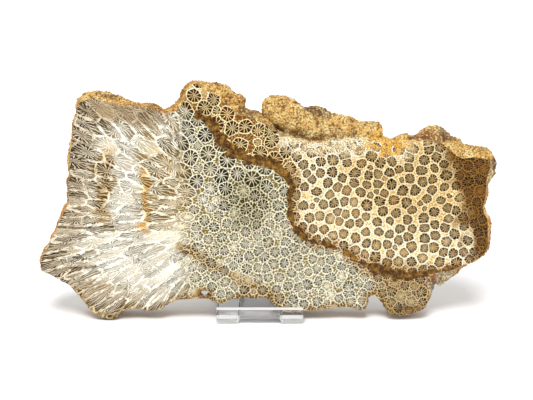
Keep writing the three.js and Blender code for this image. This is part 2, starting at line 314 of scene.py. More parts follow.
def face_colours(across, up, edge):
    """Colours at points of the face, edge mm from its rim: inside the corallites, of their walls and septa,
    and of the ground between them. Then how lengthwise they are cut, the seam, the chalk, the part of the
    right colony with golden centres, and its amber strip."""
    spot, uneven = partial(patch, across, up), partial(wobble, across, up)
    coats = {name: np.tile(colour(code), (len(across), 1))
             for name, code in (("inner", "7C724A"), ("wall", "FAF6E6"), ("ground", "A2935C"))}

    def lay(share, **tints):
        """Moves the named coats towards their tints, each by its part of the share."""
        for name, (code, part) in tints.items():
            coats[name] = blend(coats[name], code, part * share)

    away, side, half_width = from_line(across, up, SEAM)
    right = smooth(-0.6, 0.6, away * side + 1.2 * uneven(5, 3))
    off_right = 1 - right
    left = smooth(-34, -41, across + 3 * uneven(7, 4)) * off_right

    # The left colony: whiter and cut lengthwise towards the left edge
    lay(left, inner=("A4936E", 1), wall=("FFFDF4", 1), ground=("B5A688", 1))
    tan = spot((-44, 56), (13, 23), turn=4, seed=11) * off_right
    lay(tan, inner=("A48C58", 0.85), wall=("FBF5E2", 0.7), ground=("B09A66", 0.6))
    white = np.maximum.reduce([spot((-52, 27), (24, 13), turn=12, seed=12),
                               spot((-62.5, 62), (6, 22), seed=13), spot((-26.5, 55), (4.5, 9), seed=14)])
    lay(white * off_right, inner=("CCC5B8", 0.9))
    dark = spot((-9, 52), (10, 11), seed=15) * off_right
    lay(dark, inner=("524A2A", 0.9), wall=("E0D8B8", 0.7), ground=("655A32", 0.9))
    taupe = smooth(14, 5, edge + 3 * uneven(5, 16)) * smooth(-64, -72, across)
    lay(taupe, inner=("725B36", 0.95), wall=("E6DAC2", 0.7), ground=("7E6B56", 0.9))
    slate = spot((-60, 91.5), (18, 6), turn=-4, seed=17)
    lay(slate, inner=("A08E76", 0.95), wall=("D2C2A4", 0.85), ground=("80705A", 0.9))

    # Brown and gold bands of growth, and a grey corner
    zigzag = 1 - smooth(2.2, 4.4, np.abs(across + 71.3 + 2.2 * uneven(3, 18) - 0.1 * (up - 58)))
    zigzag = zigzag * smooth(40, 45, up) * smooth(79, 73, up)
    lay(zigzag, inner=("7E6016", 1), wall=("E6CC94", 0.5), ground=("7A5416", 0.9))
    gold = 1 - smooth(0.8, 2.2, np.abs(across + 53 + 1.6 * uneven(3.5, 19)))
    gold = gold * smooth(36, 42, up) * smooth(70, 64, up)
    lay(gold, inner=("A07614", 0.95), wall=("EACB7C", 0.6))
    lay(spot((-72, 9), (18, 8), turn=-8, seed=20), inner=("A4927A", 0.9), wall=("F0E8D4", 0.6))

    # The right colony: cream walls, brown corallites, darkest at the upper right
    lay(right, inner=("6A5024", 1), wall=("FFFBEA", 1), ground=("F2E2B8", 1))
    deep = spot((64, 62), (32, 19), turn=-12, seed=21) * right
    lay(deep, inner=("443208", 0.9), wall=("F8E8C0", 0.7), ground=("D2B070", 0.65))
    honey = spot((33, 45), (19, 13), turn=-25, seed=22) * right
    lay(honey, inner=("947C4A", 0.85), ground=("F2E4C0", 0.7))
    lay(spot((58, 33), (17, 7), turn=-8, seed=23) * right, inner=("A08A58", 0.75))

    # Amber corallites beside the seam and in the strip up to the top edge
    strip = smooth(11, 5, away + 2 * uneven(4, 24)) * right * smooth(16, 8, across)
    strip = np.maximum(strip, spot((-15, 85), (26, 11), turn=-26, seed=25) * right)
    beside = smooth(5.5, 2, away + 1.5 * uneven(3, 26)) * right
    lay(np.maximum(strip, beside), inner=("7E5612", 0.95))
    lay(np.maximum(strip, 0.8 * beside), ground=("966A20", 0.95))
    lay(strip, wall=("FFF3CA", 0.95))

    # The dark stain along the right edge, and the taupe foot below the seam
    border, stain_side, _ = from_line(across, up, RIGHT_STAIN)
    stained = smooth(-4.2, 2.8, border * stain_side + 3.6 * uneven(4, 27)) * right
    lay(stained, inner=("462F02", 0.97), wall=("B28C4A", 0.97), ground=("5A3E04", 0.97))
    lay(stained * smooth(0.1, 0.8, uneven(2.6, 36)), inner=("7A5618", 0.45), ground=("8E6A24", 0.45))
    lay(stained * smooth(40, 30, up), inner=("64513A", 0.7), ground=("7A6450", 0.7))
    foot = spot((62, 9), (17, 11), turn=10, seed=28) * off_right
    lay(foot, inner=("604C32", 0.9), wall=("DCCAA4", 0.9), ground=("6E5A3A", 0.9))
    foot_brown = spot((61, 3.5), (12, 3.2), seed=29) * off_right
    lay(foot_brown, inner=("5C4020", 0.8), wall=("A08050", 0.7), ground=("6E4E28", 0.8))

    # Brown along the bottom edge, and a stain there
    rim = smooth(3.2, 1, edge + uneven(3, 30)) * smooth(20, 12, up)
    off_line, _, stain_width = from_line(across, up, LOW_STAIN)
    stain = smooth(1.4, 0.5, (off_line + 1.8 * uneven(3.5, 34)) / stain_width)
    lay(np.maximum(rim, stain), inner=("7A5A24", 0.85), wall=("DAC494", 0.6), ground=("8E6E34", 0.85))

    # Brown round the hole, an orange fleck, and long cracks
    by_hole = spot(HOLE_AT, (3.6, 2.6), rough=0.8, seed=37)
    lay(by_hole, inner=("6E4A18", 0.85), wall=("C8A468", 0.8), ground=("7A5622", 0.85))
    lay(spot((-55, 41), (2.2, 1.3), rough=0.8, seed=38), inner=("C98A24", 0.8), wall=("F2D594", 0.5))
    for line in CRACKS:
        off_crack, _, crack_width = from_line(across, up, line)
        crack = smooth(1.8, 0.7, off_crack / crack_width)
        lay(crack, inner=("4E3C26", 0.9), wall=("7E6A50", 0.9), ground=("4E3C26", 0.9))

    # The chalky band under the lump, and the seam with its brown halo
    chalk = smooth(7.5, 4, edge + 2.4 * uneven(3.4, 32)) * smooth(2, 8, across)
    chalk = chalk * smooth(66, 60, across) * smooth(60, 68, up)
    lay(chalk, inner=("A0906C", 0.8), wall=("FAF7F0", 1), ground=("EDE7DA", 0.95))
    halo = smooth(3.4, 1, (away + 1.6 * uneven(2.6, 35)) / half_width) * smooth(6, 14, across)
    lay(halo, inner=("5E3C0E", 0.75), wall=("D9BE8C", 0.6), ground=("9A6E34", 0.8))
    seam = 1 - smooth(0.4, 1.3, (away + 1.2 * uneven(2.2, 33)) / half_width)
    golden = right * (1 - stained) * (1 - 0.8 * strip)
    return coats, np.column_stack([left, seam, chalk]), golden, strip


# ---------------------------------------------------------------- the slice's mesh


def place(across, up, depth):
    """A point of the slice, in metres, from its place on the face and its depth in mm."""
    return FACE_ORIGIN + (Vector((1, 0, 0)) * across + FACE_UP * up + FACE_IN * depth) * MM


def face_place(points):
    """Across, up and depth in mm of points given in metres, as three arrays."""
    off = (np.asarray(points) - np.array(FACE_ORIGIN)) / MM
    return off[:, 0], off @ np.array(FACE_UP), off @ np.array(FACE_IN)


def height_and_depth(vert):
    """How far up the face and how deep in the slice a mesh's point lies, in mm."""
    off = vert.co - FACE_ORIGIN
    return off.dot(FACE_UP) / MM, off.dot(FACE_IN) / MM


def joined_copy(node):
    """A bmesh of a CAD node's shape with its loose triangles joined."""
    form = bmesh.new()
    form.from_mesh(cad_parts[node].data)
    bmesh.ops.remove_doubles(form, verts=form.verts, dist=1e-6)
    return form


def cut_caps(form):
    """Takes the flat front and back off the slice and leaves its rind."""
    caps = [face for face in form.faces for cut in (0, THICKNESS)
            if all(abs(height_and_depth(vert)[1] - cut) < ON_CUT for vert in face.verts)]
    bmesh.ops.delete(form, geom=caps, context="FACES")


def refine(form, longest):
    """Splits the edges until hardly one is longer than this many metres."""
    for _ in range(REFINE_ROUNDS):
        wide = [edge for edge in form.edges if edge.calc_length() > longest]
        bmesh.ops.subdivide_edges(form, edges=wide, cuts=1)
        bmesh.ops.triangulate(form, faces=[face for face in form.faces if len(face.verts) > 3])


def roughen(form, settings):
    """Turns the rind's smooth surface into a crust of knobs and grains, which fades at the cut faces."""
    inner = [vert for vert in form.verts if not vert.is_boundary]
    for _ in range(EASE_ROUNDS):
        bmesh.ops.smooth_vert(form, verts=inner, factor=EASE,
                              use_axis_x=True, use_axis_y=True, use_axis_z=True)
    form.normal_update()
    low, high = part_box(SLICE)
    for vert in inner:
        up, depth = height_and_depth(vert)
        fade = min(1, depth / KNOB_FADE, (THICKNESS - depth) / KNOB_FADE)
        low_side = 1 if up > SMOOTHER_BELOW else SMOOTHER
        knobs = noise.fractal(vert.co / settings.knob_size, 1, 2, 3)
        grains = 0.5 - noise.voronoi(vert.co / settings.grain_size)[0][0]
        lift = settings.knob_height * knobs + settings.grain_height * grains
        vert.co += vert.normal * lift * max(fade, 0) * low_side
        depth = height_and_depth(vert)[1]
        vert.co += FACE_IN * (min(max(depth, OFF_CUT), THICKNESS - OFF_CUT) - depth) * MM
        vert.co = Vector(min(max(vert.co[i], low[i]), high[i]) for i in range(3))


def open_loops(form):
    """The rims left open by the caps, as lists of vertex indices."""
    form.verts.index_update()
    left = dict.fromkeys(edge for edge in form.edges if edge.is_boundary)
    loops = []
    while left:
        loop = list(left.popitem()[0].verts)
        while follow := [edge for edge in loop[-1].link_edges if edge in left]:
            del left[follow[0]]
            after = follow[0].other_vert(loop[-1])
            if after is loop[0]:
                break
            loop.append(after)
        loops.append([vert.index for vert in loop])
    return loops


def inside_loops(points, loops):
    """Which points lie inside the outer loop and outside the holes."""
    inside = np.zeros(len(points), bool)
    for loop in loops:
        for (x0, y0), (x1, y1) in zip(loop, np.roll(loop, -1, axis=0)):
            crosses = (y0 > points[:, 1]) != (y1 > points[:, 1])
            if crosses.any():
                at = x0 + (points[:, 1] - y0) / (y1 - y0 if y1 != y0 else 1) * (x1 - x0)
                inside ^= crosses & (points[:, 0] < at)
    return inside


def rim_distance(points, loops):
    """How far each point lies from the nearest rim."""
    best = np.full(len(points), np.inf)
    for loop in loops:
        line = [tuple(p) for p in np.vstack([loop, loop[:1]])]
        best = np.minimum(best, from_line(points[:, 0], points[:, 1], line)[0])
    return best


def cap_points(loops, spacing, pits):
    """Points that fill a cap in a loose six-sided grid, with rings round its pits, and their depths."""
    low = np.min([loop.min(0) for loop in loops], 0)
    high = np.max([loop.max(0) for loop in loops], 0)
    rows = np.arange(low[1], high[1], spacing * math.sqrt(3) / 2)
    columns = np.arange(low[0], high[0], spacing)
    x, y = np.meshgrid(columns, rows)
    x = x + (np.arange(len(rows)) % 2)[:, None] * spacing / 2
    points = np.column_stack([x.ravel(), y.ravel()])
    points += np.random.default_rng(GRID_SEED).uniform(-STRAY, STRAY, points.shape) * spacing
    keep = inside_loops(points, loops) & (rim_distance(points, loops) > RIM_ROOM * spacing)
    rings, ring_depth = [], []
    for across, up, radius in pits:
        keep &= np.hypot(points[:, 0] - across, points[:, 1] - up) > radius * PIT_ROOM
        for share, drop in PIT_SHAPE:
            turn = np.arange(PIT_SIDES) * 2 * math.pi / PIT_SIDES
            rings.append(np.column_stack([across + radius * share * np.cos(turn),
                                          up + PIT_HEIGHT * radius * share * np.sin(turn)]))
            ring_depth.append(np.full(PIT_SIDES, drop * radius))
    return np.vstack([points[keep]] + rings), np.concatenate([np.zeros(keep.sum())] + ring_depth)


def cap(loops, spacing, pits):
    """Fills the loops, given as (index, across, up) rows, with small triangles. Returns the loops' indices,
    the added points, their depths, and the triangles, which count the loops' points and then those."""
    rims = [loop[:, 1:] for loop in loops]
    added, depth = cap_points(rims, spacing, pits)
    names = np.concatenate([loop[:, 0] for loop in loops]).astype(int)
    points = np.vstack(rims + [added])
    edges, start = [], 0
    for rim in rims:
        edges += [(start + i, start + (i + 1) % len(rim)) for i in range(len(rim))]
        start += len(rim)
    result = geometry.delaunay_2d_cdt([Vector(p) for p in points], edges, [], 0, 1e-6, True)
    source = np.array([ids[0] if ids else -1 for ids in result[3]])
    triangles = source[np.array(result[2])]
    keep = inside_loops(points[triangles].mean(1), rims) & (triangles >= 0).all(1)
    return names, added, depth, triangles[keep]


def without_folds(faces):
    """Which triangles to keep: none twice or back to back, and no sliver that hangs outside a rim."""
    order = np.argsort(faces, axis=1)
    key = np.take_along_axis(faces, order, axis=1)
    first, second, third = order.T
    turn = np.sign((second - first) * (third - second) * (third - first))
    group = np.unique(key, axis=0, return_inverse=True)[1].ravel()
    total = np.bincount(group, turn)[group]
    keep = np.zeros(len(faces), bool)
    for way in (1, -1):
        same = np.flatnonzero((turn == way) & (total * way > 0))
        keep[same[np.unique(group[same], return_index=True)[1]]] = True
    for _ in range(SLIVER_ROUNDS):
        kept = np.flatnonzero(keep)
        edges = np.sort(faces[kept][:, [[0, 1], [1, 2], [2, 0]]], axis=2).reshape(-1, 2)
        found, uses = np.unique(edges, axis=0, return_inverse=True, return_counts=True)[1:]
        uses = uses[found.ravel()].reshape(-1, 3)
        keep[kept[(uses.min(1) == 1) & (uses.max(1) == 3)]] = False
    return keep


def corallite_marks(corners, centres):
    """For triangles of a cap, given as their corners' places on the face: each corner's place in its
    corallite with the distance to the next corallite's border, and the corallite's number."""
    near = two_nearest(corners.mean(1), centres)
    flat = corners.reshape(-1, 2)
    own, other = np.repeat(near, 3, axis=0).T
    own_along, own_over, own_reach, own_slope = reach_from(flat, centres[:, own])
    _, _, other_reach, other_slope = reach_from(flat, centres[:, other])
    steep = np.maximum(np.hypot(*(other_slope - own_slope)), 1e-3)
    border = np.clip((other_reach - own_reach) / steep, -9, 9)
    pitch = centres[5, own]
    return np.column_stack([own_along * pitch, own_over * pitch, border]), near[:, 0]


def crust_colours(across, up, depth):
    """Colours of the rind, by where it lies round the slice, with painted shade under the lump."""
    spot = partial(patch, across, up)
    lump = smooth(-6, -3, across) * smooth(56, 50, across) * smooth(78, 81, up)
    purple = np.maximum(spot((17, 94), (4.5, 3), turn=-30, seed=64), spot((23.5, 91), (4, 3.5), seed=65))
    # Painted shade: the lower part of the overhanging lump is painted darker brown.
    shade_under_lump = smooth(4.5, 1.5, up - 81 + 0.13 * (across - 10)) * lump
    on_face = (depth < 1.5) & (up < 81) & (across > 0) & (across < 70)
    in_hole = spot((HOLE_AT[0], HOLE_AT[1] - 2), (3, 2), rough=0.4, seed=76) * (depth > 0.2)
    low, top_left = smooth(30, 12, up), spot((-62, 97), (24, 7), seed=61)
    golden = spot((-71, 99), (13, 5), rough=1.2, seed=75)
    lobe = spot((-26, 98), (16, 9), turn=-25, seed=62)
    saddle = spot((-6, 88), (8, 6), seed=63)
    bright = spot((52, 78), (9, 6), turn=5, rough=1.2, seed=66)
    corner = spot((80, 77), (20, 9), turn=-10, seed=67)
    red, grey = spot((68, 81), (7, 4), seed=68), spot((78, 83), (3.5, 5), turn=-30, seed=69)
    knob = spot((97, 65), (4.2, 6.5), soft=0.2, rough=0.6, seed=70)
    chip = spot((75, 16.5), (8, 6), turn=20, seed=71)
    crack = spot((70.5, 19.5), (3.2, 1.6), rough=0.8, seed=72)
    foot, foot_side = spot((-72, 2.5), (6, 4.5), seed=73), spot((-65.5, 2.5), (2.6, 3.2), rough=0.8, seed=74)
    crust = np.tile(colour("DEA446"), (len(across), 1))
    for share, code, part in (
            (low, "A67C4C", 0.85), (top_left, "D6A65C", 0.7), (golden, "F4D48C", 0.7), (lobe, "E0B260", 0.85),
            (saddle, "A68A58", 0.8), (lump, "EEC880", 1), (purple * lump, "7E5A48", 0.75),
            (shade_under_lump, "80602F", 0.8), (on_face, "FBF2D8", 1), (bright, "FFD064", 0.9),
            (corner, "ECC87C", 0.85), (red, "B8763F", 0.7), (grey, "94866C", 0.7), (knob, "8C7B70", 0.95),
            (chip, "BDB8B0", 0.85), (crack, "C0701E", 0.8), (in_hole, "E8941E", 0.9), (foot, "B8AC96", 0.85),
            (foot_side, "95662A", 0.85)):
        crust = blend(crust, code, part * share)
    return crust


def set_marks(mesh, name, kind, domain, values):
    """Stores numbers on the mesh as an attribute for the materials."""
    layer = mesh.attributes.new(name, kind, domain)
    values = np.asarray(values, np.float32)
    if kind == "FLOAT_COLOR":
        values = np.column_stack([values, np.ones(len(values), np.float32)])
    layer.data.foreach_set({"FLOAT": "value", "FLOAT_VECTOR": "vector", "FLOAT_COLOR": "color"}[kind],
                           np.ascontiguousarray(values).ravel())


def slice_mesh(settings):
    """The whole slice: rind, polished front and sawn back as one closed mesh, with its marks."""
    form = joined_copy(SLICE)
    cut_caps(form)
    refine(form, settings.rind_step)
    roughen(form, settings)
    loops = open_loops(form)
    points = np.array([vert.co for vert in form.verts])
    faces = np.array([[vert.index for vert in face.verts] for face in form.faces])
    form.free()
    slots = np.full(len(faces), RIND_SLOT)
    across, up, depth = face_place(points)
    edge = np.zeros(len(points))
    for slot, at, spacing, pits in ((POLISHED_SLOT, 0, settings.face_step / MM, PITS),
                                    (SAWN_SLOT, THICKNESS, BACK_STEP * settings.face_step / MM, ())):
        rims = [np.column_stack([loop, across[loop], up[loop]]) for loop in loops
                if abs(depth[loop].mean() - at) < 1]
        rims.sort(key=lambda rim: -len(rim))
        names, added, drop, triangles = cap(rims, spacing, pits)
        numbers = np.concatenate([names, len(points) + np.arange(len(added))])
        points = np.vstack([points, [place(a, u, at + d) for (a, u), d in zip(added, drop)]])
        corners = np.vstack([np.vstack([rim[:, 1:] for rim in rims]), added])[triangles]
        turned = np.cross(corners[:, 1] - corners[:, 0], corners[:, 2] - corners[:, 0]) < 0
        if slot == SAWN_SLOT:
            turned = ~turned
        triangles[turned] = triangles[turned][:, ::-1]
        faces = np.vstack([faces, numbers[triangles]])
        slots = np.concatenate([slots, np.full(len(triangles), slot)])
        edge = np.concatenate([edge, rim_distance(added, [rim[:, 1:] for rim in rims])])

    sound = without_folds(faces)
    faces, slots = faces[sound], slots[sound]
    mesh = bpy.data.meshes.new("coral_slice_dressed")
    mesh.from_pydata(points.tolist(), [], faces.tolist())
    mesh.polygons.foreach_set("material_index", slots.astype(np.int32))
    across, up, depth = face_place(points)
    coats, zones, gold_side, amber = face_colours(across, up, edge)
    coats["crust"] = crust_colours(across, up, depth)
    for name, values in coats.items():
        set_marks(mesh, name, "FLOAT_COLOR", "POINT", values)
    set_marks(mesh, "zones", "FLOAT_VECTOR", "POINT", zones)
    rough = np.clip(np.minimum(depth, THICKNESS - depth) / CRUMB_FADE, 0, 1)
    for name, values in (("gold_side", gold_side), ("amber", amber), ("rough", rough)):
        set_marks(mesh, name, "FLOAT", "POINT", values)

    # The corallites run a little outwards on their way to the back
    flat = slots != RIND_SLOT
    spread = np.where(slots == SAWN_SLOT, BACK_SPREAD, 1)[:, None, None]
    places = np.column_stack([across, up])[faces]
    places = np.array(GROWTH_CENTRE) + (places - np.array(GROWTH_CENTRE)) * spread
    centres = corallite_centres(np.column_stack([across, up])[edge > OFF_RIM], settings.seed)
    marks = np.zeros((len(faces), 3, 3))
    owner = np.zeros(len(faces), int)
    found, owner[flat] = corallite_marks(places[flat], centres)
    marks[flat] = found.reshape(-1, 3, 3)
    set_marks(mesh, "calyx", "FLOAT_VECTOR", "CORNER", marks.reshape(-1, 3))
    rng = np.random.default_rng(settings.seed + 1)
    chance, tone = rng.uniform(size=(2, centres.shape[1]))
    right = from_line(centres[0], centres[1], SEAM)[1] > 0
    ring = np.where(right, settings.right_ring_share, settings.ring_share) * centres[5]
    ring = ring * rng.uniform(*RING_RANGE, len(ring))
    set_marks(mesh, "cell", "FLOAT_VECTOR", "FACE", np.column_stack([ring, chance, tone])[owner])
    mesh.update()
    return mesh


# ---------------------------------------------------------------- materials


def feed(tree, socket, value):
    """Joins another node's socket to this one, or sets a plain value on it."""
    if isinstance(value, bpy.types.NodeSocket):
        tree.links.new(value, socket)
    else:
        socket.default_value = value


def add_node(tree, kind, inputs=(), **settings):
    """A new node with its settings, and its inputs joined or set, by name or number."""
    made = tree.nodes.new(kind)
    for name, value in settings.items():
        setattr(made, name, value)
    for name, value in dict(inputs).items():
        feed(tree, made.inputs[name], value)
    return made


class Paint:
    """Adds the nodes of one material and joins them up."""

    def __init__(self, name):
        self.material = bpy.data.materials.new(name)
        self.material.use_nodes = True
        self.tree = self.material.node_tree
        self.shader, self.output = (next(n for n in self.tree.nodes if n.bl_idname == "ShaderNode" + kind)
                                    for kind in ("BsdfPrincipled", "OutputMaterial"))

    def node(self, kind, inputs=(), **settings):
        return add_node(self.tree, "ShaderNode" + kind, inputs, **settings)

    def shade(self, inputs, bump=None):
        """Sets the shader's inputs, and its bump by strength, distance in mm and height."""
        for name, value in inputs.items():
            feed(self.tree, self.shader.inputs[name], value)
        if bump:
            strength, distance, height = bump
            made = self.node("Bump", {"Strength": strength, "Distance": distance * MM, "Height": height})
            self.tree.links.new(made.outputs[0], self.shader.inputs["Normal"])

    def math(self, operation, *values):
        return self.node("Math", dict(enumerate(values)), operation=operation).outputs[0]

    def times(self, *factors):
        """The product of the factors."""
        return reduce(partial(self.math, "MULTIPLY"), factors)

    def times_plus(self, factor, other, added):
        return self.math("MULTIPLY_ADD", factor, other, added)

    def most(self, *values):
        """The largest of the values."""
        return reduce(partial(self.math, "MAXIMUM"), values)

    def ramp(self, value, low, high, start=0, end=1):
        """start up to low, end from high on, smooth between them; low may be the higher one."""
        if low > high:
            low, high, start, end = high, low, end, start
        return self.node("MapRange", {"Value": value, "From Min": low, "From Max": high, "To Min": start,
                                      "To Max": end}, interpolation_type="SMOOTHSTEP").outputs[0]

    def mix(self, share, a, b):
        """A number between a and b."""
        return self.node("Mix", {0: share, 2: a, 3: b}).outputs[0]

    def blend(self, share, a, b, kind="MIX"):
        """A colour between a and b."""
        return self.node("Mix", {0: share, 6: a, 7: b}, data_type="RGBA", blend_type=kind,
                         clamp_factor=True).outputs[2]

    def shaded(self, base, shade):
        """A colour times a shade, which may be a number or a colour."""
        return self.blend(1, base, shade, "MULTIPLY")

    def marks(self, name, output="Vector"):
        """What the mesh's attribute of this name holds."""
        return self.node("Attribute", attribute_name=name).outputs[output]

    def parts(self, vector):
        return tuple(self.node("SeparateXYZ", {0: vector}).outputs)

    def noise(self, at, size, detail=2, roughness=0.5, output=0):
        """Noise in features about size mm wide."""
        return self.node("TexNoise", {"Vector": at, "Scale": 1 / size, "Detail": detail,
                                      "Roughness": roughness}).outputs[output]

    def place_mm(self):
        """The point's own place in mm."""
        return self.node("VectorMath", {0: self.node("TexCoord").outputs["Object"], "Scale": 1 / MM},
                         operation="SCALE").outputs[0]


def tint(code):
    """A hex colour code as a colour socket's value."""
    return (*colour(code), 1)


def corallites(paint):
    """The corallites' colour, how much white skeleton shows and the dark cracks, as sockets."""
    ramp, times, times_plus, most, blend = paint.ramp, paint.times, paint.times_plus, paint.most, paint.blend
    at = paint.place_mm()
    fine = paint.noise(at, 0.5, detail=3, roughness=0.6)
    wander = paint.node("VectorMath", {0: paint.noise(at, 2.8, detail=3, output=1), 1: (0.5, 0.5, 0.5)},
                        operation="SUBTRACT").outputs[0]
    wander_x, wander_y, wander_z = paint.parts(wander)
    x, y, border = paint.parts(paint.marks("calyx"))
    x, y = times_plus(wander_x, 2.1, x), times_plus(wander_y, 2.1, y)
    border = paint.math("ABSOLUTE", border)
    radius, chance, tone = paint.parts(paint.marks("cell"))
    left, seam, chalk = paint.parts(paint.marks("zones"))
    gold_side, amber = paint.marks("gold_side", "Fac"), paint.marks("amber", "Fac")
    wall, inner = paint.marks("wall", "Color"), paint.marks("inner", "Color")

    def polar(x, y):
        """How far from the middle a place is, and which way in turns."""
        reach = paint.math("SQRT", times_plus(x, x, times(y, y)))
        return reach, paint.math("DIVIDE", paint.math("ARCTAN2", y, x), 2 * math.pi)

    def spokes(reach, turns, count, width):
        """White lines along the radius, width mm across, for a place given in mm and turns."""
        step = paint.math("FRACT", paint.math("ADD", times(turns, count), spin))
        off = paint.math("ABSOLUTE", paint.math("SUBTRACT", step, 0.5))
        spacing = paint.math("DIVIDE", times(reach, 2 * math.pi), count)
        return ramp(times(off, most(spacing, width * 2.2)), width * 0.75, width * 0.3)

    # Round corallites: a thin ring, its septa inwards, their ribs outwards and a spongy middle
    reach, turns = polar(x, y)
    count = times_plus(chance, 3, paint.math("MINIMUM", times(radius, 4.2), 10))
    count = paint.math("FLOOR", count)
    spin = times_plus(tone, 7, 100)
    share = paint.math("DIVIDE", reach, radius)
    within = ramp(share, 1.02, 0.94)
    ring = times(ramp(paint.math("ABSOLUTE", paint.math("SUBTRACT", reach, radius)), 0.34, 0.1),
                 ramp(fine, 0.3, 0.5, 0.7, 1))
    septa = times(spokes(reach, turns, count, 0.26), within, ramp(fine, 0.3, 0.5, 0.6, 1))
    core = times(ramp(share, 0.2, 0.04), ramp(fine, 0.38, 0.6, 0.1, 0.9), ramp(amber, 0, 1, 1, 0.3))
    septa = most(septa, core)
    ribs = times(spokes(reach, turns, times(count, 1.5), 0.4), ramp(share, 0.98, 1.04),
                 ramp(amber, 0, 1, 1, 0.55), ramp(fine, 0.38, 0.58, 0.2, 1))
    touching = times(ramp(border, 0.32, 0.12), ramp(amber, 0, 1, 0.9, 0.7))
    outside = most(ring, ribs, times(touching, ramp(share, 1.1, 0.95)))

    # Corallites cut along their length: shared walls, veins that open like a leaf's, and loose streaks
    focus = times_plus(times_plus(chance, 1.5, -0.9), radius, x)
    fan = paint.math("DIVIDE", times(y, 6), paint.math("ADD", x, 8))
    along = paint.node("CombineXYZ", {0: times(x, 0.3), 1: times(fan, 1.9), 2: times(tone, 40)}).outputs[0]
    streaks = paint.noise(along, 1, detail=3, roughness=0.6)
    shared_wall = ramp(times_plus(wander_z, 2.2, border), 0.66, 0.36)
    worn = ramp(paint.noise(at, 3.2), 0.36, 0.5, 0.5, 1)
    veins = times(spokes(*polar(focus, y), times(count, 1.5), 0.4), ramp(streaks, 0.36, 0.5, 0.15, 0.9))
    lengthwise = most(times(shared_wall, worn), veins, ramp(streaks, 0.54, 0.66, 0, 0.7))
    skeleton = paint.mix(left, most(septa, outside), lengthwise)

    # What fills them: darkest just inside the ring, lighter in the middle, no two alike
    varied = paint.mix(left, ramp(tone, 0, 1, 0.6, 1.35), ramp(tone, 0, 1, 0.8, 1.25))
    filling = paint.shaded(inner, varied)
    whitish = times(ramp(tone, 0.84, 0.9), ramp(gold_side, 0, 1, 0.42, 0.2), ramp(amber, 0, 1, 1, 0))
    filling = blend(whitish, filling, wall)
    gilt = times(ramp(chance, 0.92, 0.96, 0, 0.5), within)
    filling = blend(times(gilt, gold_side), filling, tint("C28A10"))
    hollow = paint.node("MapRange", {0: share, 1: 0.2, 2: 0.8, 3: 1.3, 4: ramp(gold_side, 0, 1, 0.66, 0.48)})
    rounded = paint.shaded(filling, hollow.outputs[0])
    spots = ramp(paint.noise(at, 0.85), 0.5, 0.6, 0, 0.75)
    ground = blend(times(spots, gold_side), paint.marks("ground", "Color"), tint("D6AC58"))
    rounded = blend(within, ground, rounded)
    rounded = blend(times(septa, 0.95), rounded, blend(times(gold_side, 0.6), wall, tint("D8B470")))
    rounded = blend(times(outside, 0.97), rounded, wall)
    leaf = paint.shaded(filling, ramp(paint.math("DIVIDE", x, radius), -1, 1, 1.15, 0.8))
    painted = blend(left, rounded, blend(lengthwise, leaf, wall))

    # Hairline cracks between long corallites
    here = ramp(paint.noise(at, 7, detail=1), 0.5, 0.56)
    crack = times(ramp(border, 0.3, 0.12), ramp(left, 0.2, 0.6), here)
    painted = blend(times(crack, 0.5), painted, tint("7A6A4E"))

    # The brown seam, and the chalky band
    cloudy = ramp(paint.noise(at, 2.2, detail=6, roughness=0.7), 0.42, 0.66)
    fuzzy = times_plus(paint.noise(at, 1.3, detail=4, roughness=0.65), 0.9, seam)
    painted = blend(ramp(fuzzy, 0.7, 1.05, 0, 0.92), painted, blend(cloudy, tint("705018"), tint("BC9A54")))
    dusty = blend(ramp(fine, 0.55, 0.38, 0, 0.8), paint.marks("crust", "Color"), tint("A88A50"))
    patchy = ramp(paint.noise(at, 2.4, detail=3), 0.38, 0.54)
    painted = blend(times(chalk, patchy, 0.88), painted, dusty)
    painted = paint.shaded(painted, ramp(fine, 0.25, 0.75, 0.8, 1.12))
    painted = paint.node("Gamma", {"Color": painted, "Gamma": FACE_DEPTH}).outputs[0]
    return painted, skeleton, crack


def polished_coral():
    """The cut and polished face."""
    paint = Paint("Polished coral")
    painted, skeleton, crack = corallites(paint)
    height = paint.math("SUBTRACT", paint.times(skeleton, 0.25), crack)
    paint.shade({"Base Color": painted, "Roughness": paint.ramp(skeleton, 0, 1, 0.2, 0.34),
                 "Specular IOR Level": 0.2, "Coat Weight": 0.1, "Coat Roughness": 0.08}, (0.12, 0.1, height))
    return paint.material


def sawn_coral():
    """The back: the same corallites under the fine ridges and grey dust of the saw."""
    paint = Paint("Sawn coral")
    painted, skeleton, _ = corallites(paint)
    at = paint.place_mm()
    ridges = paint.node("TexWave", {"Vector": at, "Scale": 0.11, "Distortion": 1.2, "Detail": 2.0,
                                    "Detail Scale": 0.2}, bands_direction="X").outputs[1]
    dust = paint.ramp(paint.noise(at, 9, detail=4), 0.3, 0.7, 0.25, 0.5)
    painted = paint.blend(dust, painted, tint("CFC6B4"))
    painted = paint.shaded(painted, paint.ramp(ridges, 0, 1, 0.93, 1.03))
    paint.shade({"Base Color": painted, "Roughness": paint.ramp(ridges, 0, 1, 0.7, 0.82)},
                (0.35, 0.12, paint.times_plus(skeleton, 0.3, ridges)))
    return paint.material


